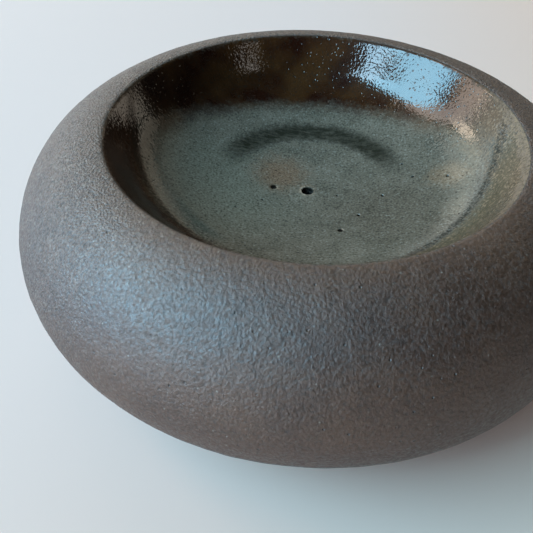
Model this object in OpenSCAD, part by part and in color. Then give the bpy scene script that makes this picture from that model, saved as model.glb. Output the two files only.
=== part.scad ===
// Round stoneware incense burner: a hollow doughnut of unglazed clay with a
// glazed dish let into its top and a hole in the dish for one incense stick.
// Lengths are in millimetres, the table is at z = 0 and Z is the wheel's axis.

/* [Body] */
// Outside diameter at the widest ring
body_d = 120; // [110:1:150]
// Height from the table to the crest of the lip
body_h = 41; // [36:0.5:50]
// Height of the widest ring above the table
widest_z = 21.7; // [19:0.1:25]
// Thickness of the thrown wall
wall_t = 5.5; // [4.5:0.1:6.5]
// Fullness of the shoulder above the widest ring, where 2 is an ellipse
shoulder_power = 1.81; // [1.6:0.01:2.4]
// Fullness of the belly below the widest ring, where 2 is an ellipse
belly_power = 2.17; // [1.8:0.01:2.6]

/* [Lip and dish] */
// Diameter of the crest of the lip
lip_d = 82.2; // [74:0.2:88]
// Radius of the rounding that turns the lip into the dish
lip_round = 1.5; // [1:0.1:2.5]
// Depth of the dish at its centre, below the crest of the lip
dish_depth = 17.5; // [15.5:0.1:20]
// Slope of the dish's wall from the horizontal, in degrees
dish_slope = 60; // [52:1:66]
// Radius of the cove between the dish's wall and its floor
cove_r = 12; // [8:0.5:16]
// Radius of the shallow bowl of the dish's floor
floor_r = 80; // [70:1:120]
// Thickness of the dish's clay
dish_t = 5; // [4:0.1:6]

/* [Glaze] */
// Thickness of the fired glaze
glaze_t = 0.6; // [0.4:0.05:0.9]

/* [Stick hole] */
// Diameter of the hole through the dish's clay
stick_hole_d = 2.4; // [1.8:0.1:4]
// Width by which the glaze stops short of the stick hole, all round
glaze_setback = 0.2; // [0.1:0.05:0.5]

/* [Base and foot] */
// Diameter of the opening under the belly that the base disc closes
base_d = 66; // [62:1:76]
// Thickness of the base disc
base_t = 5.5; // [4:0.1:6.5]
// Outside diameter of the turned foot ring
foot_d = 60; // [52:0.5:60]
// Width of the foot ring
foot_w = 5; // [4:0.1:8]
// Height of the foot ring below the base disc
foot_h = 1.8; // [1.2:0.1:3]
// Radius of the foot ring's softened edges
foot_round = 0.6; // [0.3:0.1:1]

/* [Luted joints] */
// Thickness of the slip in each joint
slip_t = 0.8; // [0.4:0.1:1.2]
// Distance from the lip's rounding down the dish's wall to the rim joint
rim_joint_drop = 2; // [1:0.1:4]

/* [Hidden] */
$fn = 180;
CURVE_STEPS = 22;  // points along each shoulder or belly curve
ARC_STEPS = 10;    // points along each small arc
CUT_EXTRA = 1;     // how far a drilling cut runs past what it cuts
STONEWARE = [0.25, 0.22, 0.21];
FRESH_SLIP = [0.33, 0.29, 0.26];
GLAZE = [0.27, 0.30, 0.27];

body_r = body_d / 2;
lip_r = lip_d / 2;
base_r = base_d / 2;
foot_r = foot_d / 2;
ceiling_z = body_h - wall_t;      // underside of the shoulder, inside
cavity_floor_z = foot_h + base_t; // top of the base disc

// Unit vectors of the dish's wall: down the slope, and from the air into the clay
down = [-cos(dish_slope), -sin(dish_slope)];
into_clay = [sin(dish_slope), -cos(dish_slope)];

// Where the lip's rounding ends, and the same place under the glaze
lip_centre = [lip_r, body_h - lip_round];
glaze_top = lip_centre - lip_round * into_clay;
clay_top = glaze_top + glaze_t * into_clay;

// Corners of the rim joint, which is cut square to the dish's wall
joint_top = clay_top + rim_joint_drop * down;
joint_top_back = joint_top + dish_t * into_clay;
joint_foot = joint_top + slip_t * down;
joint_foot_back = joint_foot + dish_t * into_clay;

// Centres of the floor's arc and of the cove that is tangent to it and to the wall
floor_centre = [0, body_h - dish_depth + floor_r];
from_floor_centre = glaze_top - cove_r * into_clay - floor_centre;
along = from_floor_centre * down;
wall_run = -along + sqrt(along ^ 2 - from_floor_centre * from_floor_centre
                         + (floor_r - cove_r) ^ 2);
cove_centre = glaze_top - cove_r * into_clay + wall_run * down;
cove_end = atan2(cove_centre[1] - floor_centre[1], cove_centre[0]);

// Points of an arc about centre c, of radius r, from angle a to angle b
function arc(c, r, a, b, steps = ARC_STEPS) =
    [for (i = [0:steps]) let (t = a + (b - a) * i / steps) c + r * [cos(t), sin(t)]];

// The dish's surface from the foot of its wall to the axis, moved into the clay by depth
function dish_curve(depth) = concat(
    arc(cove_centre, cove_r + depth, dish_slope - 90, cove_end),
    arc(floor_centre, floor_r + depth, cove_end, -90));

// A quarter of a superellipse from [r_top, z_end] to [r_wide, z_wide], top end first
function quarter(r_top, r_wide, z_wide, z_end, power) =
    [for (i = [0:CURVE_STEPS]) let (t = 90 * i / CURVE_STEPS)
        [r_top + (r_wide - r_top) * sin(t) ^ (2 / power),
         z_wide + (z_end - z_wide) * cos(t) ^ (2 / power)]];

function reversed(list) = [for (i = [len(list) - 1:-1:0]) list[i]];

// Thrown wall from the base up over the shoulder to the lip, with the cavity inside it
module outer_wall() {
    outside = concat(
        quarter(base_r, body_r, widest_z, foot_h, belly_power),
        reversed(quarter(lip_r, body_r, widest_z, body_h, shoulder_power)));
    inside = concat(
        quarter(joint_top_back[0], body_r - wall_t, widest_z, ceiling_z, shoulder_power),
        reversed(quarter(base_r, body_r - wall_t, widest_z, foot_h + wall_t, belly_power)));
    color(STONEWARE) rotate_extrude() polygon(concat(
        outside,
        arc(lip_centre, lip_round, 90, 90 + dish_slope),
        [clay_top, joint_top, joint_top_back],
        inside));
}

// Dish that hangs from the rim joint, drilled for the stick
module dish() {
    color(STONEWARE) difference() {
        rotate_extrude() polygon(concat(
            [joint_foot],
            dish_curve(glaze_t),
            reversed(dish_curve(glaze_t + dish_t)),
            [joint_foot_back]));
        translate([0, 0, body_h - dish_depth - glaze_t - dish_t - CUT_EXTRA])
            cylinder(h = glaze_t + dish_t + 2 * CUT_EXTRA, d = stick_hole_d);
    }
}

// Slab that closes the belly, with its foot ring turned from the same clay
module base_disc() {
    disc_r = base_r - slip_t;
    foot_inner_r = foot_r - foot_w;
    color(STONEWARE) rotate_extrude() polygon(concat(
        [[0, cavity_floor_z], [0, foot_h], [foot_inner_r, foot_h]],
        arc([foot_inner_r + foot_round, foot_round], foot_round, 180, 270),
        arc([foot_r - foot_round, foot_round], foot_round, 270, 360),
        [[foot_r, foot_h], [disc_r, foot_h], [disc_r, cavity_floor_z]]));
}

// Ring of slip between the wall and the dish, hidden under the glaze
module rim_slip() {
    color(FRESH_SLIP) rotate_extrude() polygon(
        [joint_top, joint_foot, joint_foot_back, joint_top_back]);
}

// Ring of slip between the wall and the base disc
module base_slip() {
    color(FRESH_SLIP) rotate_extrude() translate([base_r - slip_t, foot_h])
        square([slip_t, min(base_t, wall_t)]);
}

// Coat of glaze from the lip to the mouth of the stick hole
module dish_glaze() {
    color(GLAZE) difference() {
        rotate_extrude() polygon(concat(
            [glaze_top],
            dish_curve(0),
            reversed(dish_curve(glaze_t)),
            [clay_top]));
        translate([0, 0, body_h - dish_depth - glaze_t - CUT_EXTRA])
            cylinder(h = glaze_t + 2 * CUT_EXTRA, d = stick_hole_d + 2 * glaze_setback);
    }
}

outer_wall();
dish();
base_disc();
rim_slip();
base_slip();
dish_glaze();
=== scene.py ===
"""Looks of a round stoneware incense burner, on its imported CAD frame."""
import math

import bpy
import numpy as np
from mathutils import Matrix, Vector, noise


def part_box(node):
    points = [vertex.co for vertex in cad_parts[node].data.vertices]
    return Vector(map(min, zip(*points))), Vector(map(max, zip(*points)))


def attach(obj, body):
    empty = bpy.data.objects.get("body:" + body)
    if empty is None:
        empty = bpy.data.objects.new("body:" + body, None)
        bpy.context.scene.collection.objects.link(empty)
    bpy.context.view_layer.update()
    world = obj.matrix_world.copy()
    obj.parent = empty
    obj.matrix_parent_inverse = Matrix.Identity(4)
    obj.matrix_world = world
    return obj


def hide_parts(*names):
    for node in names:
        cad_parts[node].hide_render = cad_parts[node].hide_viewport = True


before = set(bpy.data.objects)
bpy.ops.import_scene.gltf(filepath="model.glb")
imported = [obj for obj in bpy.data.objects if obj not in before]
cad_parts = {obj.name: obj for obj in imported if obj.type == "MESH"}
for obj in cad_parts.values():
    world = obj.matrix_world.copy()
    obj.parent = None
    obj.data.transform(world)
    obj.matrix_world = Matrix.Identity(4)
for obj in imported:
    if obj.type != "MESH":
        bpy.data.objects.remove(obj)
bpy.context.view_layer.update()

MM = 0.001

# ---------------------------------------------------------------- sizes, in mm
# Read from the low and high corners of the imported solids.
wall_low, wall_high = (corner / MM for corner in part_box("outer_wall"))
slip_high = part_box("base_slip")[1] / MM
coat_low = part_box("dish_glaze")[0] / MM
BODY_R = wall_high.x
BODY_H = wall_high.z
FOOT_H = wall_low.z
BASE_R = slip_high.x
COAT_LOWEST = coat_low.z

# The same shape values as the part's source.
WIDEST_Z = 21.7
WALL_T = 5.5
SHOULDER_POWER = 1.81              # of the curve, where 2 is an ellipse
BELLY_POWER = 2.17
LIP_R = 41.1
LIP_ROUND = 1.5
DISH_SLOPE = math.radians(60)
COVE_R = 12.0
FLOOR_R = 80.0
DISH_T = 5.0
GLAZE_T = 0.6
HOLE_R = 1.2
RIM_JOINT_DROP = 2.0

# The dish's depth, and the glaze's edges on the lip and at the stick hole.
DISH_DEPTH = BODY_H - (COAT_LOWEST + GLAZE_T)
LIP_BARE = math.radians(28)        # how far the clay shows over the lip's crest
EDGE_R = LIP_R - LIP_ROUND * math.sin(LIP_BARE)
SKIN_T = 0.06                      # the glaze's thickness where it ends, on the lip
MOUTH_GAP = 0.05                   # between the stick hole and the glaze round it
MOUTH_R = HOLE_R + MOUTH_GAP
MOUTH_ROUND = 0.25

# Hand-made unevenness: how far apart its bumps are, and how far in it goes.
BODY_INSET = 0.02                  # the least depth, which keeps a piece inside its solid
SWELL_PITCH, SWELL_DEPTH = 22.0, 0.20
LUMP_PITCH, LUMP_DEPTH = 3.0, 0.10
RINGS_DEPTH = 0.03
RINGS_TURN, RINGS_START = 2.1, 0.6   # in radians per mm of height, and in radians
CALM_REACH = 9.0                   # from the lip, over which the unevenness sets in
COAT_INSET = 0.01
RIPPLE_PITCH, RIPPLE_DEPTH = 4.0, 0.05
GROOVE_R, GROOVE_W, GROOVE_DEPTH = 19.9, 1.2, 0.10
PINHOLE_DEPTH = 0.25

# Mesh fineness.
FINE = 2
RING = 300 * FINE                  # points round a turned piece
ROW = 1.2 / FINE                   # between its rows
COAT_ROW = ROW * 0.8
LIP_STEPS = 9
COVE_STEPS, FLOOR_STEPS = 60, 200
MOUTH_STEPS = 4
HIDDEN_STEPS = 12                  # along each curve of the wall's inside
HIDDEN_EVERY = 8                   # the coat's back keeps one point in this many


# ------------------------------------------------------------------- profiles
def arc(centre, radius, first, last, steps):
    """Points (r, z) on a circle from angle first to last, in radians."""
    turn = np.linspace(first, last, steps + 1)
    return np.stack([centre[0] + radius * np.cos(turn), centre[1] + radius * np.sin(turn)], axis=1)


def quarter(r_end, r_wide, z_wide, z_end, power, steps=400):
    """A quarter of a superellipse, from its end at r_end to the widest point."""
    turn = np.linspace(0, math.pi / 2, steps + 1)
    return np.stack([r_end + (r_wide - r_end) * np.sin(turn) ** (2 / power),
                     z_wide + (z_end - z_wide) * np.cos(turn) ** (2 / power)], axis=1)


def evenly(points, step):
    """The same line with its points about step apart."""
    points = np.asarray(points, float)
    along = np.concatenate([[0], np.cumsum(np.linalg.norm(np.diff(points, axis=0), axis=1))])
    wanted = np.linspace(0, along[-1], max(2, int(round(along[-1] / step)) + 1))
    return np.stack([np.interp(wanted, along, points[:, 0]), np.interp(wanted, along, points[:, 1])], axis=1)


down_wall = np.array([-math.cos(DISH_SLOPE), -math.sin(DISH_SLOPE)])
into_clay = np.array([math.sin(DISH_SLOPE), -math.cos(DISH_SLOPE)])
lip_centre = np.array([LIP_R, BODY_H - LIP_ROUND])
coat_edge = lip_centre - LIP_ROUND * into_clay
clay_edge = coat_edge + GLAZE_T * into_clay
joint_edge = clay_edge + RIM_JOINT_DROP * down_wall
joint_back = joint_edge + DISH_T * into_clay

floor_centre = np.array([0, BODY_H - DISH_DEPTH + FLOOR_R])
to_floor = coat_edge - COVE_R * into_clay - floor_centre
along_wall = to_floor @ down_wall
wall_run = -along_wall + math.sqrt(along_wall ** 2 - to_floor @ to_floor + (FLOOR_R - COVE_R) ** 2)
cove_centre = coat_edge - COVE_R * into_clay + wall_run * down_wall
cove_end = math.atan2(cove_centre[1] - floor_centre[1], cove_centre[0] - floor_centre[0])


def dish_line(depth, hole):
    """The dish's curve, depth below the glaze's face, from the wall's foot to the stick hole."""
    radius = FLOOR_R + depth
    last = -math.acos(hole / radius)
    first = DISH_SLOPE - math.pi / 2
    return np.concatenate([arc(cove_centre, COVE_R + depth, first, cove_end, COVE_STEPS),
                           arc(floor_centre, radius, cove_end, last, FLOOR_STEPS)[1:]])


def lip_line(first, last, depth_first, depth_last):
    """Part of the lip's round, between two angles from its crest, so far below the surface at each end."""
    turn = np.linspace(first, last, LIP_STEPS)
    radius = LIP_ROUND - np.linspace(depth_first, depth_last, LIP_STEPS)
    return np.stack([lip_centre[0] - radius * np.sin(turn), lip_centre[1] + radius * np.cos(turn)], axis=1)


bare_lip = lip_line(0, LIP_BARE, 0, 0)
skin = lip_line(LIP_BARE, DISH_SLOPE, 0, 0)
under_skin = lip_line(LIP_BARE, DISH_SLOPE, SKIN_T, GLAZE_T)


# -------------------------------------------------------------------- objects
def fractal(points, pitch, seed, octaves):
    """Smooth bumps about pitch mm apart, from 0 to 1, the same on every run."""
    shift = Vector((17.3 * seed, 5.1 * seed, 9.7 * seed))
    flat = points.reshape(-1, 3) / pitch
    out = [noise.fractal(Vector(p) + shift, 1.0, 2.0, octaves) for p in flat]
    return 0.5 + 0.5 * np.clip(np.array(out).reshape(points.shape[:-1]), -1, 1)


def add(name, data):
    """A new object in the scene, made of a mesh, a light or a camera."""
    obj = bpy.data.objects.new(name, data)
    bpy.context.scene.collection.objects.link(obj)
    return obj


def paint(obj, material):
    """Gives a piece its one material."""
    obj.data.materials.clear()
    obj.data.materials.append(material)


def lathe(name, profile, press):
    """A closed turned solid from (r, z) points in mm. press(points) gives how far in each point goes."""
    count = len(profile)
    turn = np.linspace(0, 2 * math.pi, RING, endpoint=False)
    before, after = np.roll(profile, 1, axis=0), np.roll(profile, -1, axis=0)
    run = after - before
    run /= np.maximum(np.linalg.norm(run, axis=1, keepdims=True), 1e-9)
    # The points may run either way, so the sign of their area says on which side the outside is.
    anticlockwise = np.sum(profile[:, 0] * after[:, 1] - after[:, 0] * profile[:, 1]) > 0
    outward = np.stack([run[:, 1], -run[:, 0]], axis=1) * (1 if anticlockwise else -1)

    def turned(line):
        return np.stack([line[:, None, 0] * np.cos(turn), line[:, None, 0] * np.sin(turn),
                         np.repeat(line[:, None, 1], RING, axis=1)], axis=2)

    points = turned(profile)
    points = points - turned(outward) * press(points)[..., None]
    faces = []
    for row in range(count):
        here, there = row * RING, (row + 1) % count * RING
        for k in range(RING):
            beside = (k + 1) % RING
            quad = (here + k, here + beside, there + beside, there + k)
            faces.append(quad if anticlockwise else quad[::-1])
    mesh = bpy.data.meshes.new(name)
    mesh.from_pydata((points.reshape(-1, 3) * MM).tolist(), [], faces)
    mesh.update()
    mesh.shade_smooth()
    return add(name, mesh)


# ------------------------------------------------------------------ materials
class Shader:
    """A material with short calls for its nodes. Positions are the piece's own, in metres."""

    def __init__(self, name):
        self.material = bpy.data.materials.new(name)
        self.material.use_nodes = True
        self.tree = self.material.node_tree
        self.bsdf = self.tree.nodes["Principled BSDF"]
        self.position = self.tree.nodes.new("ShaderNodeTexCoord").outputs["Object"]

    def node(self, kind, **settings):
        made = self.tree.nodes.new("ShaderNode" + kind)
        for key, value in settings.items():
            setattr(made, key, value)
        return made

    def feed(self, socket, value):
        """Links or sets a socket. Colours are given as linear RGB."""
        if isinstance(value, bpy.types.NodeSocket):
            self.tree.links.new(value, socket)
        elif isinstance(value, tuple) and len(value) == 3 and len(socket.default_value) == 4:
            socket.default_value = (*value, 1)
        else:
            socket.default_value = value

    def noise(self, pitch, detail=2.0, rough=0.5, stretch=(1, 1, 1)):
        """Noise from 0 to 1 with features about pitch mm apart."""
        made = self.node("TexNoise")
        spread = self.node("Mapping")
        self.feed(spread.inputs["Vector"], self.position)
        spread.inputs["Scale"].default_value = stretch
        self.feed(made.inputs["Vector"], spread.outputs[0])
        for key, value in (("Scale", 1 / (pitch * MM)), ("Detail", detail), ("Roughness", rough)):
            made.inputs[key].default_value = value
        return made.outputs[0]

    def cells(self, pitch, output="Distance"):
        """Cells about pitch mm apart: the distance to their middles, or a colour of each one's own."""
        made = self.node("TexVoronoi", feature="F1")
        self.feed(made.inputs["Vector"], self.position)
        made.inputs["Scale"].default_value = 1 / (pitch * MM)
        return made.outputs[output]

    def away_from(self, x, y, squeeze=1.0):
        """Distance in mm from an upright line through (x, y), with X squeezed."""
        flat = self.node("VectorMath", operation="MULTIPLY_ADD")
        self.feed(flat.inputs[0], self.position)
        flat.inputs[1].default_value = (squeeze / MM, 1 / MM, 0)
        flat.inputs[2].default_value = (-x * squeeze, -y, 0)
        made = self.node("VectorMath", operation="LENGTH")
        self.feed(made.inputs[0], flat.outputs[0])
        return made.outputs["Value"]

    def math(self, operation, *values):
        made = self.node("Math", operation=operation)
        for socket, value in zip(made.inputs, values):
            self.feed(socket, value)
        return made.outputs[0]

    def times(self, *values):
        product = values[0]
        for value in values[1:]:
            product = self.math("MULTIPLY", product, value)
        return product

    def scaled(self, value, factor, plus):
        """The value times factor, plus another value."""
        return self.math("MULTIPLY_ADD", value, factor, plus)

    def inverse(self, value):
        """1 for 0, and 0 for 1."""
        return self.math("SUBTRACT", 1.0, value)

    def ramp(self, value, low, high):
        """0 below low and 1 above high, smooth between."""
        made = self.node("MapRange", interpolation_type="SMOOTHSTEP")
        self.feed(made.inputs[0], value)
        made.inputs[1].default_value, made.inputs[2].default_value = low, high
        return made.outputs[0]

    def fall(self, value, low, high):
        """1 below low and 0 above high, smooth between."""
        return self.inverse(self.ramp(value, low, high))

    def near(self, x, y, full, gone):
        """1 within full mm of an upright line through (x, y), and 0 beyond gone mm."""
        return self.fall(self.away_from(x, y), full, gone)

    def steps(self, value, *stops, smooth=False):
        """A number mapped through (at, out) stops, with at from 0 to 1."""
        made = self.node("ValToRGB")
        ramp = made.color_ramp
        ramp.interpolation = "EASE" if smooth else "LINEAR"
        while len(ramp.elements) < len(stops):
            ramp.elements.new(0.5)
        for element, (at, out) in zip(ramp.elements, stops):
            element.position = at
            element.color = (out, out, out, 1)
        self.feed(made.inputs[0], value)
        return made.outputs[0]

    def blot(self, distance, reach, core, peak):
        """peak up to the share core of reach mm, easing to 0 at reach."""
        return self.steps(self.math("DIVIDE", distance, reach), (core, peak), (1.0, 0.0), smooth=True)

    def mix(self, share, first, second):
        made = self.node("Mix", data_type="RGBA")
        self.feed(made.inputs[0], share)
        self.feed(made.inputs[6], first)
        self.feed(made.inputs[7], second)
        return made.outputs[2]

    def bump(self, height, distance, under=None):
        """Relief: height 0 to 1 over distance mm, on the relief under it."""
        made = self.node("Bump")
        made.inputs["Distance"].default_value = distance * MM
        self.feed(made.inputs["Height"], height)
        if under is not None:
            self.feed(made.inputs["Normal"], under)
        return made.outputs[0]

    def finish(self, **inputs):
        for key, value in inputs.items():
            self.feed(self.bsdf.inputs[key.replace("_", " ")], value)
        return self.material


# Bare clay. A patch is x, y, full within and gone beyond, in mm on the piece from above.
COARSE_PATCH = (8, -58, 28.0, 60.0)   # where the body's grit is coarser
CLAY_SIDE = (-60, 0)                  # the window side, from which sand with its painted glints thins out and painted shade sets in
SAND_AND_GLINTS_THIN = (50.0, 115.0)
SHADE_SETS_IN = (85.0, 122.0)
EDGE_BAND = (0.5, 0.9)                # where the stain beside the glaze ends, past its edge
BLACK_GRIT = (0.006, 0.004, 0.003)
PALE_SAND_AND_GLINTS = (0.165, 0.130, 0.106)
PALE_GRAIN = (0.20, 0.17, 0.14)
# Painted shade on the side of the clay away from the window.
SHADED_SIDE_TINT = (0.016, 0.006, 0.002)


def clay_height(s, coarse):
    """Height of the grit from 0 to 1, and a second one for the relief, where fine grit stands out more."""
    pebbles = s.steps(s.cells(0.64), (0.0, 1.0), (0.9, 0.0))
    crumbs = s.noise(0.42, detail=3.0, rough=0.78, stretch=(1.1, 1.1, 0.7))
    lumps = s.scaled(pebbles, 0.22, s.scaled(crumbs, 0.46, 0.18))
    specks = s.steps(s.cells(0.45), (0.0, 1.0), (0.9, 0.0))
    fine = s.scaled(specks, 0.38, s.scaled(s.noise(0.30, rough=0.65), 0.52, 0.05))
    return s.mix(coarse, fine, lumps), s.mix(coarse, s.scaled(fine, 1.4, -0.2), lumps)


def clay_tint(s, dark, light, height, grains, pits, coarse, from_side):
    """Patches of two tones with painted shade in the hollows, warm and dark grains, sand whose pale specks
    are partly painted glints, and pits.
    """
    patches = s.noise(9.0, detail=3.0, rough=0.55)
    tint = s.mix(s.steps(patches, (0.35, 0.0), (0.68, 1.0)), dark, light)
    # Painted shade: the grit's hollows are darkened.
    shaded_hollow = s.steps(height, (0.34, 1.0), (0.46, 0.0))
    tint = s.mix(s.times(shaded_hollow, 0.8), tint, tuple(c * 0.3 for c in dark))
    warm = s.steps(s.cells(0.5, "Color"), (0.55, 0.0), (0.85, 0.8))
    tint = s.mix(warm, tint, (dark[0] * 1.5, dark[1] * 1.8, dark[2] * 2.4))
    tint = s.mix(s.steps(grains, (0.15, 0.6), (0.45, 0.0)), tint, tuple(c * 0.4 for c in dark))
    # Sand specks, thinning away from the window side: the pale ones are partly painted glints.
    sand = s.cells(0.38, "Color")
    spread = s.scaled(s.ramp(from_side, *SAND_AND_GLINTS_THIN), -0.6, 1.0)
    spread = s.times(spread, s.scaled(coarse, -0.6, 1.0))
    tint = s.mix(s.times(s.steps(sand, (0.06, 0.85), (0.40, 0.0)), spread), tint, BLACK_GRIT)
    tint = s.mix(s.times(s.steps(sand, (0.62, 0.0), (0.92, 0.55)), spread), tint, PALE_SAND_AND_GLINTS)
    tint = s.mix(pits, tint, BLACK_GRIT)
    return s.mix(s.steps(s.cells(2.2), (0.04, 0.7), (0.09, 0.0)), tint, PALE_GRAIN)


def stoneware(name, dark, light, grain, rough, specular=0.5, edge=None):
    """Bare fired clay. grain is the height of its grit in mm, and edge its tone beside the glaze."""
    s = Shader(name)
    coarse = s.near(*COARSE_PATCH)
    from_side = s.away_from(*CLAY_SIDE)
    height, rise = clay_height(s, coarse)
    grains = s.cells(0.42, "Color")
    pits = s.steps(s.cells(2.6), (0.04, 1.0), (0.09, 0.0))
    tint = clay_tint(s, dark, light, height, grains, pits, coarse, from_side)
    gloss = s.scaled(grains, 0.30, s.steps(height, (0.34, rough + 0.06), (0.56, rough - 0.17)))
    if edge is not None:
        # Painted shade: the clay darkens on the side away from the window.
        tint = s.mix(s.times(s.ramp(from_side, *SHADE_SETS_IN), 0.35), tint, SHADED_SIDE_TINT)
        beyond = s.scaled(s.noise(0.8), 1.2, s.away_from(0, 0))
        beside = s.fall(beyond, *(EDGE_R + end for end in EDGE_BAND))
        tint = s.mix(beside, tint, edge)
        gloss = s.scaled(beside, 0.3, gloss)
    relief = s.bump(rise, grain)
    relief = s.bump(s.noise(1.6), 0.08, relief)
    relief = s.bump(s.inverse(pits), 0.12, relief)
    return s.finish(Base_Color=tint, Roughness=gloss, Specular_IOR_Level=specular, Normal=relief)


body_clay = stoneware("body_clay", (0.045, 0.015, 0.0060), (0.068, 0.026, 0.0110), grain=0.28, rough=0.51,
                      specular=1.0, edge=(0.034, 0.020, 0.012))
base_clay = stoneware("base_clay", (0.060, 0.047, 0.040), (0.090, 0.074, 0.064), grain=0.10, rough=0.62)
# Near black: soot and painted shade inside the stick hole, where this clay shows.
shaded_inner_clay = stoneware("shaded_inner_clay", (0.010, 0.008, 0.007), (0.016, 0.012, 0.010), grain=0.10, rough=0.9,
                       specular=0.1)
slip_clay = stoneware("slip_clay", (0.045, 0.034, 0.029), (0.066, 0.052, 0.045), grain=0.06, rough=0.66)

# Marks in the glaze, by their place on the dish in mm. A pinhole is x, y and radius.
PINHOLES = [(-7.5, 0.2, 0.68), (1.5, -40.0, 0.50), (7.0, -14.1, 0.50), (10.7, -8.6, 0.30),
            (15.8, -2.0, 0.26), (6.3, -1.3, 0.20), (-9.4, -5.1, 0.22), (28.9, 1.2, 0.30),
            (22.3, 3.3, 0.28), (-14.5, -9.5, 0.20), (20.4, 8.1, 0.20)]
STAIN, STAIN_REACH = (-6.4, 5.0), 9.0
TAN, TAN_REACH = (29.0, 1.5), 5.5
OLIVE, OLIVE_REACH = (33, -7), 30.0

# The pool on the floor: an ellipse, longer in X, with a softer end at the back.
POOL, POOL_R, POOL_SQUEEZE = (0.6, -0.5), 28.2, 0.80
POOL_FADE, POOL_FADE_BACK = 1.2, 3.0
GLASSY = (26.5, 32.0)                 # where the satin floor turns into the glossy wall
SHADE_R = 31.0                        # a darker ring at the wall's foot, on the right

# The seams on the right (1) and the left (-1) are arcs about a point across the middle.
SEAM_X, SEAM_Y = 11.4, 15.9
SEAM_R = {1: 50.7, -1: 50.8}

# The back's share of the dish grows with the distance from a point at the front.
FRONT_POINT = (0, -60)
BACK_FROM = (62.0, 84.0)

# Bands, as two distances in mm between which something sets in or dies out.
DARK_WALL = (30.0, 33.0)              # from the middle: the wall past it has few light grains and painted glints
THIN_BAND = (-0.6, 0.1)               # from the coat's edge: where it looks thin
SEAM_BAND = (0.2, 1.1)                # from the seam's middle
BANK_STARTS, BANK_ENDS = (0.2, 1.2), (3.0, 6.0)          # outward from the seam
STRIP_STARTS, STRIP_ENDS = (-6.0, -3.5), (-1.2, -0.4)
WET_MOUTH_STARTS, WET_MOUTH_ENDS = (1.3, 1.5), (1.7, 2.3)   # from the stick hole's middle
WET_STARTS, WET_ENDS = (0.6, 0.9), (1.1, 2.0)            # the same for a pinhole, in its radii

# Patches, given as for the clay.
TEAL_PATCH = (-24, -6, 6.0, 30.0)
DIM_PATCH = (18, -8, 4.0, 18.0)
SHADE_PATCH = (32, 4, 8.0, 16.0)
GROOVE_PATCH = (0, 30, 23.0, 33.0)
WARM_PATCH = (39, -2, 4.0, 12.0)
FRONT_PATCH = (8, -45, 14.0, 34.0)
SEAM_PATCH = (31, -10, 15.0, 23.0)    # on the right, and mirrored on the left

# Tints of the glaze.
POOL_TINTS = (0.091, 0.074, 0.054), (0.131, 0.105, 0.078)
TEAL_TINT = (0.140, 0.132, 0.100)
DIM_TINT = (0.070, 0.050, 0.034)
STAIN_TINT = (0.155, 0.090, 0.055)
SHADE_TINT = (0.030, 0.036, 0.030)
TAN_TINT = (0.150, 0.098, 0.062)
GROOVE_TINT = (0.018, 0.016, 0.010)
BROWN_TINTS = (0.015, 0.0024, 0.0003), (0.046, 0.0165, 0.0042)
OLIVE_TINT = (0.078, 0.052, 0.027)
WARM_TINT = (0.180, 0.120, 0.075)
STRIP_TINT = (0.052, 0.068, 0.058)
BANK_TINT = (0.066, 0.052, 0.030)
SEAM_TINT = (0.012, 0.011, 0.008)
THIN_TINTS = (0.050, 0.033, 0.023), (0.160, 0.110, 0.078)
DARK_GRAIN_TINT = (0.016, 0.014, 0.011)
LIGHT_GRAIN_AND_GLINT_TINT = (0.32, 0.30, 0.26)
FLECK_TINT = (0.19, 0.125, 0.078)
DENT_TINT = (0.012, 0.006, 0.003)
# Near black: painted shade in the pinholes and the stick hole, with soot in the stick hole.
SOOT_AND_HOLE_SHADE_TINT = (0.004, 0.003, 0.002)


def pool_tint(s, fray, shade, ring):
    """The glaze that pooled on the floor: teal-grey, with a stain, a tan spot and a streaked groove."""
    mottle = s.noise(5.0, detail=4.0, rough=0.6)
    tint = s.mix(s.steps(mottle, (0.35, 0.0), (0.65, 1.0)), *POOL_TINTS)
    tint = s.mix(s.times(s.near(*TEAL_PATCH), 0.8), tint, TEAL_TINT)
    tint = s.mix(s.times(s.near(*DIM_PATCH), 0.5), tint, DIM_TINT)
    stain = s.math("ADD", s.away_from(*STAIN), s.times(fray, 1.5))
    tint = s.mix(s.blot(stain, STAIN_REACH, 0.15, 0.9), tint, STAIN_TINT)
    tint = s.mix(s.times(shade, 0.75), tint, SHADE_TINT)
    tan = s.math("ADD", s.away_from(*TAN), s.times(fray, 1.2))
    tint = s.mix(s.blot(tan, TAN_REACH, 0.3, 0.9), tint, TAN_TINT)
    streaks = s.noise(1.1, detail=3.0, rough=0.7, stretch=(0.5, 1.6, 1))
    streaks = s.steps(streaks, (0.34, 0.60), (0.58, 1.0))
    return s.mix(s.times(ring, streaks), tint, GROOVE_TINT)


def wall_tint(s, olive):
    """The glaze on the wall: brown, and olive and warmer to the right."""
    tint = s.mix(s.steps(s.noise(8.0), (0.36, 0.0), (0.66, 1.0)), *BROWN_TINTS)
    tint = s.mix(s.times(olive, 0.7), tint, OLIVE_TINT)
    return s.mix(s.times(s.near(*WARM_PATCH), 0.35), tint, WARM_TINT)


def seam(s, side, fray, dots):
    """One side's seam between floor and wall, the distance past it, and the zone where it shows."""
    past = s.scaled(fray, 0.25, s.away_from(-side * SEAM_X, SEAM_Y))
    past = s.math("ADD", past, -SEAM_R[side])
    x, y, full, gone = SEAM_PATCH
    zone = s.near(side * x, y, full, gone)
    line = s.fall(s.math("ABSOLUTE", past), *SEAM_BAND)
    return s.times(line, zone, dots), past, zone


def pinholes(s):
    """Distance from the nearest pinhole's middle, in its own radii."""
    spots = [s.math("DIVIDE", s.away_from(x, y), size) for x, y, size in PINHOLES]
    nearest = spots[0]
    for spot in spots[1:]:
        nearest = s.math("MINIMUM", nearest, spot)
    return nearest


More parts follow.
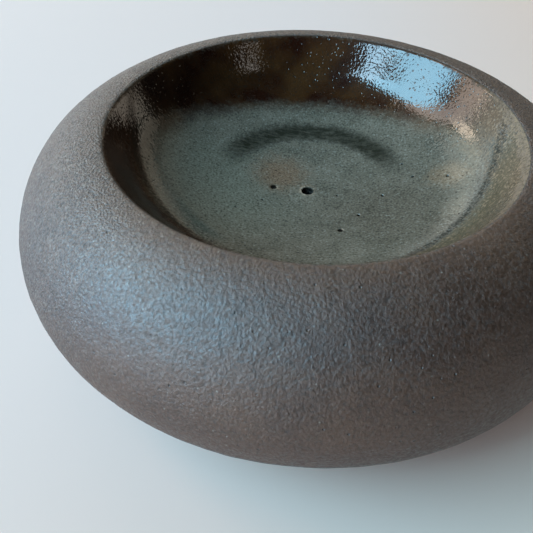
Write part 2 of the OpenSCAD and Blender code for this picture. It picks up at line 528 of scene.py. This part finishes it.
def glaze_grain(s, tint, wall, olive, dents, grain_glint_share):
    """Dark grains, a share of light ones that are partly painted glints, flecks on the olive wall, and
    darker dents.
    """
    grain = s.noise(0.44, rough=0.55)
    tint = s.mix(s.steps(grain, (0.28, 0.75), (0.48, 0.0)), tint, DARK_GRAIN_TINT)
    # Light grains, partly painted glints.
    light = s.steps(grain, (0.56, 0.0), (0.80, 0.45))
    tint = s.mix(s.times(light, grain_glint_share), tint, LIGHT_GRAIN_AND_GLINT_TINT)
    flecks = s.steps(s.noise(0.6, rough=0.6), (0.50, 0.0), (0.68, 0.9))
    tint = s.mix(s.times(flecks, s.times(wall, olive)), tint, FLECK_TINT)
    return s.mix(s.times(dents, 0.35), tint, DENT_TINT)


def glaze_relief(s, dents, holes):
    """Orange-peel, small pimples, wider ripples, dents and pinholes."""
    relief = s.bump(s.noise(0.55, detail=1.0, rough=0.45), 0.052)
    relief = s.bump(s.steps(s.cells(3.3), (0.0, 1.0), (0.06, 0.0), smooth=True), 0.06, relief)
    relief = s.bump(s.noise(1.3), 0.03, relief)
    relief = s.bump(s.inverse(dents), 0.05, relief)
    pits = s.steps(s.math("DIVIDE", holes, 2.0), (0.2, 0.0), (0.8, 1.0), smooth=True)
    return s.bump(pits, 0.15, relief)


def glaze_gloss(s, out, fray, thin, seams, bank, holes):
    """Glossy up the wall, dull at the edge, the seams and the bank, and wet round each hole."""
    dull = s.math("MAXIMUM", s.times(seams, 0.8), s.times(bank, 0.45))
    dull = s.math("MAXIMUM", s.times(thin, 0.95), dull)
    glassy = s.math("SUBTRACT", s.ramp(s.scaled(fray, 0.5, out), *GLASSY), dull)
    wet = s.math("SUBTRACT", s.ramp(holes, *WET_STARTS), s.ramp(holes, *WET_ENDS))
    wet_mouth = s.math("SUBTRACT", s.ramp(out, *WET_MOUTH_STARTS), s.ramp(out, *WET_MOUTH_ENDS))
    return s.math("MAXIMUM", glassy, s.math("MAXIMUM", wet, wet_mouth))


def dish_glaze():
    """The coat: teal-grey and satin where it pooled, near-black brown and glossy up the wall."""
    s = Shader("glaze")
    out = s.away_from(0, 0)
    wobble = s.scaled(s.noise(7.0, detail=3.0), 3.0, -1.5)
    fray = s.scaled(s.noise(1.2, detail=3.0, rough=0.7), 5.0, -2.5)
    dots = s.steps(s.noise(0.5, rough=0.6), (0.36, 0.3), (0.56, 1.0))
    dents = s.steps(s.cells(1.15), (0.10, 1.0), (0.22, 0.0))
    behind = s.ramp(s.away_from(*FRONT_POINT), *BACK_FROM)
    olive = s.blot(s.away_from(*OLIVE), OLIVE_REACH, 0.4, 1.0)

    # Floor and wall.
    edge = s.math("ADD", s.math("ADD", s.away_from(*POOL, squeeze=POOL_SQUEEZE), wobble), fray)
    fade = s.scaled(behind, POOL_FADE_BACK - POOL_FADE, POOL_FADE)
    wall = s.ramp(s.math("DIVIDE", s.math("SUBTRACT", edge, POOL_R), fade), -1.0, 1.0)
    shade = s.fall(s.math("ABSOLUTE", s.math("SUBTRACT", out, SHADE_R)), 1.0, 4.0)
    shade = s.times(shade, s.near(*SHADE_PATCH))
    ring = s.math("SUBTRACT", s.math("ADD", out, s.times(fray, 0.6)), GROOVE_R)
    ring = s.times(s.fall(s.math("ABSOLUTE", ring), 1.0, 4.0), s.near(*GROOVE_PATCH))
    share = s.times(wall, s.scaled(shade, -0.5, 1.0))
    tint = s.mix(share, pool_tint(s, fray, shade, ring), wall_tint(s, olive))

    # The seams, with a bank of glaze outside the right one and a strip inside the left one.
    seam_right, past_right, zone_right = seam(s, 1, fray, dots)
    seam_left, past_left, zone_left = seam(s, -1, fray, dots)
    bank = s.times(s.ramp(past_right, *BANK_STARTS), s.fall(past_right, *BANK_ENDS), zone_right)
    strip = s.times(s.ramp(past_left, *STRIP_STARTS), s.fall(past_left, *STRIP_ENDS), zone_left)
    seams = s.math("MAXIMUM", seam_right, seam_left)
    tint = s.mix(s.times(strip, 0.85), tint, STRIP_TINT)
    tint = s.mix(s.times(bank, 0.6), tint, BANK_TINT)
    tint = s.mix(s.times(seams, 0.8), tint, SEAM_TINT)

    # The thin edge on the lip, the grains and their painted glints, and painted shade in the holes, with
    # soot in the stick hole.
    reach = s.math("ADD", olive, s.scaled(fray, 0.6, out))
    thin = s.ramp(reach, *(EDGE_R + end for end in THIN_BAND))
    thin_tint = s.mix(s.math("MAXIMUM", olive, s.near(*FRONT_PATCH)), *THIN_TINTS)
    tint = s.mix(s.times(thin, dots), tint, thin_tint)
    dark = s.times(wall, s.math("MAXIMUM", s.ramp(out, *DARK_WALL), behind))
    grain_glint_share = s.math("SUBTRACT", s.scaled(dark, -0.9, 1.0), ring)
    tint = glaze_grain(s, tint, wall, olive, dents, grain_glint_share)
    holes = pinholes(s)
    # Painted shade: the pinholes are black inside, and the stick hole's mouth is black with soot and painted
    # shade.
    inside = s.steps(s.math("DIVIDE", holes, 2.0), (0.40, 1.0), (0.62, 0.0))
    mouth_soot_and_shade = s.steps(s.math("DIVIDE", out, 4.0), (0.30, 1.0), (0.35, 0.0))
    tint = s.mix(s.math("MAXIMUM", inside, mouth_soot_and_shade), tint, SOOT_AND_HOLE_SHADE_TINT)

    relief = glaze_relief(s, dents, holes)
    return s.finish(Base_Color=tint, Roughness=s.scaled(wall, -0.45, 0.90), Specular_IOR_Level=0.05,
                    Coat_Weight=glaze_gloss(s, out, fray, thin, seams, bank, holes),
                    Coat_Roughness=0.08, Coat_IOR=1.5, Normal=relief, Coat_Normal=relief)


glaze = dish_glaze()


# --------------------------------------------------------------------- pieces
def place(obj, slot, material, *nodes):
    """Puts a piece on the body, in place of its CAD nodes, with its finish."""
    paint(obj, material)
    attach(obj, "root")
    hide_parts(*nodes)


def wall_depth(points, profile):
    """Hand-made unevenness of the outside, pressed in so that the piece stays inside its solid."""
    swell = fractal(points, SWELL_PITCH, seed=1, octaves=2)
    lumps = fractal(points, LUMP_PITCH, seed=2, octaves=3)
    rings = 0.5 + 0.5 * np.sin(profile[:, 1] * RINGS_TURN + RINGS_START)[:, None]
    from_lip = np.hypot(profile[:, 0] - LIP_R, profile[:, 1] - BODY_H)
    calm = np.clip(from_lip / CALM_REACH, 0, 1)[:, None]
    return BODY_INSET + calm * (SWELL_DEPTH * swell + LUMP_DEPTH * lumps + RINGS_DEPTH * rings)


def stoneware_body():
    """The thrown wall: its uneven outside, the lip, the seat of the dish and the cavity's side."""
    outside = evenly(np.concatenate([
        quarter(BASE_R, BODY_R, WIDEST_Z, FOOT_H, BELLY_POWER),
        quarter(LIP_R, BODY_R, WIDEST_Z, BODY_H, SHOULDER_POWER)[::-1][1:]]), ROW)
    lip = np.concatenate([bare_lip[1:], under_skin])
    inner_r = BODY_R - WALL_T
    inside = np.concatenate([
        quarter(joint_back[0], inner_r, WIDEST_Z, BODY_H - WALL_T, SHOULDER_POWER, HIDDEN_STEPS),
        quarter(BASE_R, inner_r, WIDEST_Z, FOOT_H + WALL_T, BELLY_POWER, HIDDEN_STEPS)[::-1][1:]])
    profile = np.concatenate([outside, lip, [joint_edge, joint_back], inside[1:]])
    lip_end = len(outside) + len(lip)

    def press(points):
        depth = wall_depth(points, profile)
        depth[len(outside):lip_end] = BODY_INSET
        depth[lip_end:] = 0
        return depth

    return lathe("stoneware_body", profile, press)


def coat_depth(points):
    """Ripples, a throwing groove that shows at the back, and pinholes."""
    ripple = fractal(points, RIPPLE_PITCH, seed=3, octaves=3)
    r = np.hypot(points[..., 0], points[..., 1])
    behind = np.clip(points[..., 1] / np.maximum(r, 1) - 0.1, 0, 1)
    groove = GROOVE_DEPTH * behind * np.exp(-((r - GROOVE_R) / GROOVE_W) ** 2)
    depth = COAT_INSET + RIPPLE_DEPTH * ripple + groove
    for x, y, size in PINHOLES:
        away = np.hypot(points[..., 0] - x, points[..., 1] - y) / size
        depth = depth + PINHOLE_DEPTH * np.exp(-away ** 2)
    return depth


def glaze_coat():
    """The coat of glaze, from its thin skin on the lip to its rounded mouth at the stick hole."""
    mouth_edge = MOUTH_R + MOUTH_ROUND
    dish = np.concatenate([[coat_edge], dish_line(0, mouth_edge)])
    face = np.concatenate([skin, evenly(dish, COAT_ROW)[1:]])
    mouth_centre = (mouth_edge, dish[-1][1] - MOUTH_ROUND)
    mouth = arc(mouth_centre, MOUTH_ROUND, math.pi / 2, math.pi, MOUTH_STEPS)
    back = dish_line(GLAZE_T, MOUTH_R)[::-1][::HIDDEN_EVERY]
    profile = np.concatenate([face, mouth[1:], back, under_skin[::-1]])

    def press(points):
        depth = coat_depth(points)
        depth[len(face):] = 0
        depth[:len(skin)] *= np.linspace(0, 1, len(skin))[:, None]
        depth[:len(skin)] += BODY_INSET * np.linspace(1, 0, len(skin))[:, None]
        return depth

    return lathe("glaze_coat", profile, press)


place(stoneware_body(), "raw_stoneware", body_clay, "outer_wall")
place(glaze_coat(), "dish_glaze", glaze, "dish_glaze")

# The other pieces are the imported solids.
for node_name, material in (("dish", shaded_inner_clay), ("rim_slip", slip_clay),
                            ("base_slip", slip_clay), ("base_disc", base_clay)):
    paint(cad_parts[node_name], material)

# ---------------------------------------------------------- stage, in metres
STAGE_SIDES = 96
TABLE_R = 3.0
TABLE_LIT, TABLE_SHADE = (0.62, 0.47, 0.42), (0.69, 0.45, 0.35)
TABLE_LIT_SIDE = (-400, 200)       # in mm, as is how far from there the lit tone fades out
TABLE_LIT_FADE = (380.0, 560.0)
BACKDROP_R, BACKDROP_LOW, BACKDROP_HIGH = 2.3, -0.2, 2.3
BACKDROP_TONE = (0.62, 0.64, 0.66)
LIGHTS_AWAY = 2.0
FILL_TONE, FILL_STRENGTH = (1.0, 0.97, 0.93, 1), 0.01


def stage_ring(radius, height):
    """Points round a level circle."""
    turn = np.linspace(0, 2 * math.pi, STAGE_SIDES, endpoint=False)
    return [(radius * math.cos(t), radius * math.sin(t), height) for t in turn]


def stage_floor():
    """A plain floor, warmer on the side away from the window."""
    mesh = bpy.data.meshes.new("floor")
    mesh.from_pydata(stage_ring(TABLE_R, 0), [], [tuple(range(STAGE_SIDES))])
    obj = add("floor", mesh)
    s = Shader("floor")
    share = s.ramp(s.away_from(*TABLE_LIT_SIDE), *TABLE_LIT_FADE)
    paint(obj, s.finish(Base_Color=s.mix(share, TABLE_LIT, TABLE_SHADE), Roughness=0.9))


def stage_backdrop():
    """A plain round backdrop beyond the floor, closed on top, which only the camera sees."""
    points = stage_ring(BACKDROP_R, BACKDROP_LOW) + stage_ring(BACKDROP_R, BACKDROP_HIGH)
    faces = []
    for k in range(STAGE_SIDES):
        beside = (k + 1) % STAGE_SIDES
        faces.append((k, beside, STAGE_SIDES + beside, STAGE_SIDES + k))
    faces.append(tuple(range(STAGE_SIDES, 2 * STAGE_SIDES)))
    mesh = bpy.data.meshes.new("backdrop")
    mesh.from_pydata(points, [], faces)
    obj = add("backdrop", mesh)
    s = Shader("backdrop")
    paint(obj, s.finish(Base_Color=(0, 0, 0), Emission_Color=BACKDROP_TONE, Emission_Strength=1.0))
    obj.visible_diffuse = obj.visible_glossy = obj.visible_transmission = obj.visible_shadow = False


stage_floor()
stage_backdrop()


def softbox(name, left, right, low, high, radiance):
    """An area light that fills a window of directions seen from the dish's lip.

    Directions are in degrees, with azimuth 0 along +Y and growing towards +X.
    """
    az, el = math.radians((left + right) / 2), math.radians((low + high) / 2)
    towards = Vector((math.sin(az) * math.cos(el), math.cos(az) * math.cos(el), math.sin(el)))
    light = bpy.data.lights.new(name, "AREA")
    light.shape = "RECTANGLE"
    light.size = 2 * LIGHTS_AWAY * math.tan(math.radians(right - left) / 2) * math.cos(el)
    light.size_y = 2 * LIGHTS_AWAY * math.tan(math.radians(high - low) / 2)
    light.energy = max(radiance) * math.pi * light.size * light.size_y
    light.color = tuple(c / max(radiance) for c in radiance)
    obj = add(name, light)
    obj.location = Vector((0, 0, BODY_H * MM)) + LIGHTS_AWAY * towards
    obj.rotation_mode = "QUATERNION"
    obj.rotation_quaternion = towards.to_track_quat("Z", "Y")
    obj.visible_camera = False


# The room that the glaze mirrors: a window on the left, and walls round it.
softbox("window", -127, -87, 22, 56, (5.7, 12.0, 16.2))
softbox("window_above", -133, -127, 35, 52, (5.7, 12.0, 16.2))
softbox("window_side", -148, -133, 31, 47, (8.9, 14.8, 19.3))
softbox("sill", -122, -84, 0, 11, (3.3, 4.2, 6.2))
softbox("front_low", -158, -124, 0, 12, (9.5, 9.5, 9.8))
softbox("curtain", -84, -66, 5, 60, (4.1, 3.5, 3.2))
softbox("lamp", -66, -53, 19, 33, (9.0, 7.5, 6.0))
softbox("back_low", -66, -2, 0, 20, (1.20, 1.18, 1.15))
softbox("back_panel", -52, -2, 20, 47, (2.3, 2.25, 1.9))
softbox("back_top", -84, -20, 47, 66, (0.60, 0.48, 0.36))
softbox("side_low", 28, 54, 0, 11, (1.20, 1.05, 0.86))
softbox("side_mid", -2, 54, 11, 27, (0.72, 0.62, 0.48))
softbox("side_high", 5, 58, 28, 47, (0.22, 0.20, 0.14))
softbox("glint", 129, 137, 30, 35, (3.2, 3.0, 2.8))
softbox("door", -48, -40, 0, 5, (3.0, 4.6, 6.0))

world = bpy.data.worlds.new("world")
bpy.context.scene.world = world
world.use_nodes = True
world.node_tree.nodes["Background"].inputs[0].default_value = FILL_TONE
world.node_tree.nodes["Background"].inputs[1].default_value = FILL_STRENGTH
bpy.context.scene.view_settings.view_transform = "Standard"

# --------------------------------------------------------------------- camera
# Places and the lens are in mm, the roll in radians.
CAMERA_AT = Vector((0.0, -96.2517, 95.7628)) * MM
CAMERA_TARGET = Vector((-8.8176, 0.0, -0.8349)) * MM
CAMERA_ROLL = 0.0121772
CAMERA_LENS = 36.805

camera_data = bpy.data.cameras.new("camera")
camera = add("camera", camera_data)
forward = (CAMERA_TARGET - CAMERA_AT).normalized()
level = forward.cross(Vector((0, 0, 1))).normalized()
upright = level.cross(forward)
right = math.cos(CAMERA_ROLL) * level + math.sin(CAMERA_ROLL) * upright
upward = -math.sin(CAMERA_ROLL) * level + math.cos(CAMERA_ROLL) * upright
facing = Matrix((right, upward, -forward)).transposed().to_4x4()
camera.matrix_world = Matrix.Translation(CAMERA_AT) @ facing
camera_data.sensor_width = 36
camera_data.lens = CAMERA_LENS
camera_data.clip_start = 0.005
camera_data.clip_end = 20
bpy.context.scene.camera = camera
